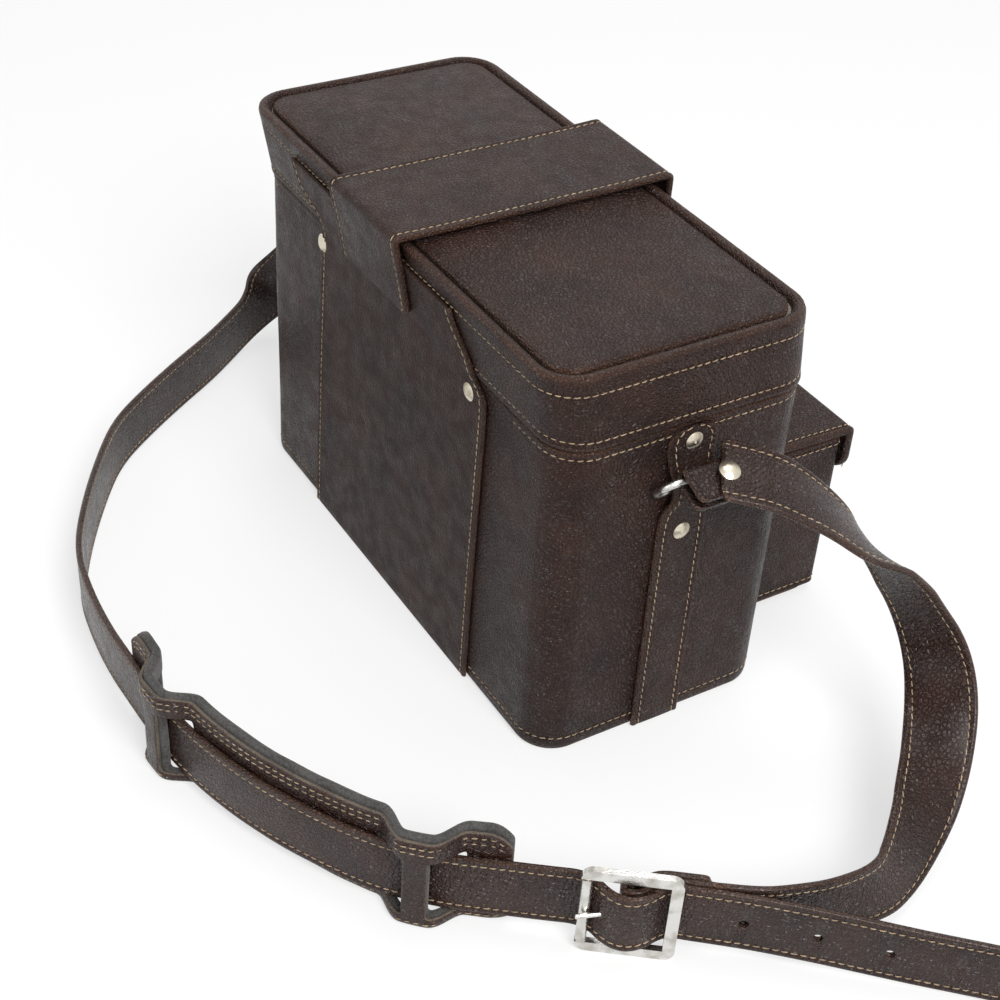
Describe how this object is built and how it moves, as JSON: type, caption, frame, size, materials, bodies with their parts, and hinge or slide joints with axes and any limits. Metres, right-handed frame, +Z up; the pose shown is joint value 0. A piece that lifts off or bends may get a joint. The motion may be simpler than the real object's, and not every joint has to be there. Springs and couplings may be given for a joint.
{
  "type": "camera case",
  "caption": "Rigid leather-covered case with a hinged lid, a wide closing belt, a flapped front pocket and a buckled shoulder strap with a pad.",
  "frame": {"origin": "centre of the case's underside, on the surface that it stands on", "axes": "+X along the case's length, +Y towards the hinged back, +Z up"},
  "size_m": [0.5331, 0.3122, 0.1856],
  "materials": {
    "leather": "semi-gloss, pebbled",
    "strap_leather": "semi-gloss, creased",
    "lining": "matt",
    "board": "matt",
    "felt": "matt",
    "nickel": "worn satin",
    "stud_metal": "aged"
  },
  "bodies": {
    "case": {"body_wall": "leather", "body_base": "leather", "body_lining": "lining", "locating_collar": "board", "back_panel": "leather", "back_panel_rivets": "stud_metal", "end_tab_left": "leather", "end_tab_right": "leather", "tab_rivets": "stud_metal", "front_snap_stud": "stud_metal", "pocket_wall": "leather", "pocket_base": "leather", "pocket_lining": "lining", "pocket_snap_stud": "stud_metal", "strap_long": "strap_leather", "strap_short": "strap_leather", "strap_buckle_fold": "strap_leather", "strap_end_left": "strap_leather", "strap_end_right": "strap_leather", "strap_rivets": "stud_metal", "pad_leather": "strap_leather", "pad_felt": "felt", "buckle_frame": "nickel"},
    "lid": {"lid_wall": "leather", "lid_top_board": "board", "lid_rim_piping": "leather", "lid_top_panel": "leather", "lid_lining": "lining", "hinge_leather": "leather", "lid_strap": "leather"},
    "tongue": {"strap_tongue": "leather", "tongue_snap_cap": "stud_metal", "tongue_snap_socket": "stud_metal"},
    "pocket_flap": {"flap_leather": "leather", "flap_snap_cap": "stud_metal", "flap_snap_socket": "stud_metal"},
    "ring_left": {"strap_ring_left": "nickel"},
    "ring_right": {"strap_ring_right": "nickel"},
    "prong": {"buckle_prong": "nickel"},
    "roller": {"buckle_roller": "nickel"}
  },
  "joints": [
    {"name": "lid_hinge", "type": "hinge", "parent": "case", "child": "lid", "pos_m": [0, 0.058, 0.1494], "axis": [-1, 0, 0], "range_deg": [0, 120]},
    {"name": "tongue_hinge", "type": "hinge", "parent": "lid", "child": "tongue", "pos_m": [0.008, -0.059, 0.174], "axis": [-1, 0, 0], "range_deg": [0, 90]},
    {"name": "flap_hinge", "type": "hinge", "parent": "case", "child": "pocket_flap", "pos_m": [0, -0.058, 0.0893], "axis": [-1, 0, 0], "range_deg": [0, 75]},
    {"name": "ring_left_swing", "type": "hinge", "parent": "case", "child": "ring_left", "pos_m": [-0.1271, 0, 0.121], "axis": [0, 1, 0], "range_deg": [-5, 1.2]},
    {"name": "ring_right_swing", "type": "hinge", "parent": "case", "child": "ring_right", "pos_m": [0.1271, 0, 0.121], "axis": [0, -1, 0], "range_deg": [-5, 1.2]},
    {"name": "prong_pivot", "type": "hinge", "parent": "case", "child": "prong", "pos_m": [-0.2198, 0.0771, 0.021], "axis": [0, 0, 1], "range_deg": [0, 12]},
    {"name": "roller_spin", "type": "hinge", "parent": "case", "child": "roller", "pos_m": [-0.21152, 0.09064, 0.021], "axis": [0, 0, 1], "continuous": true}
  ]
}
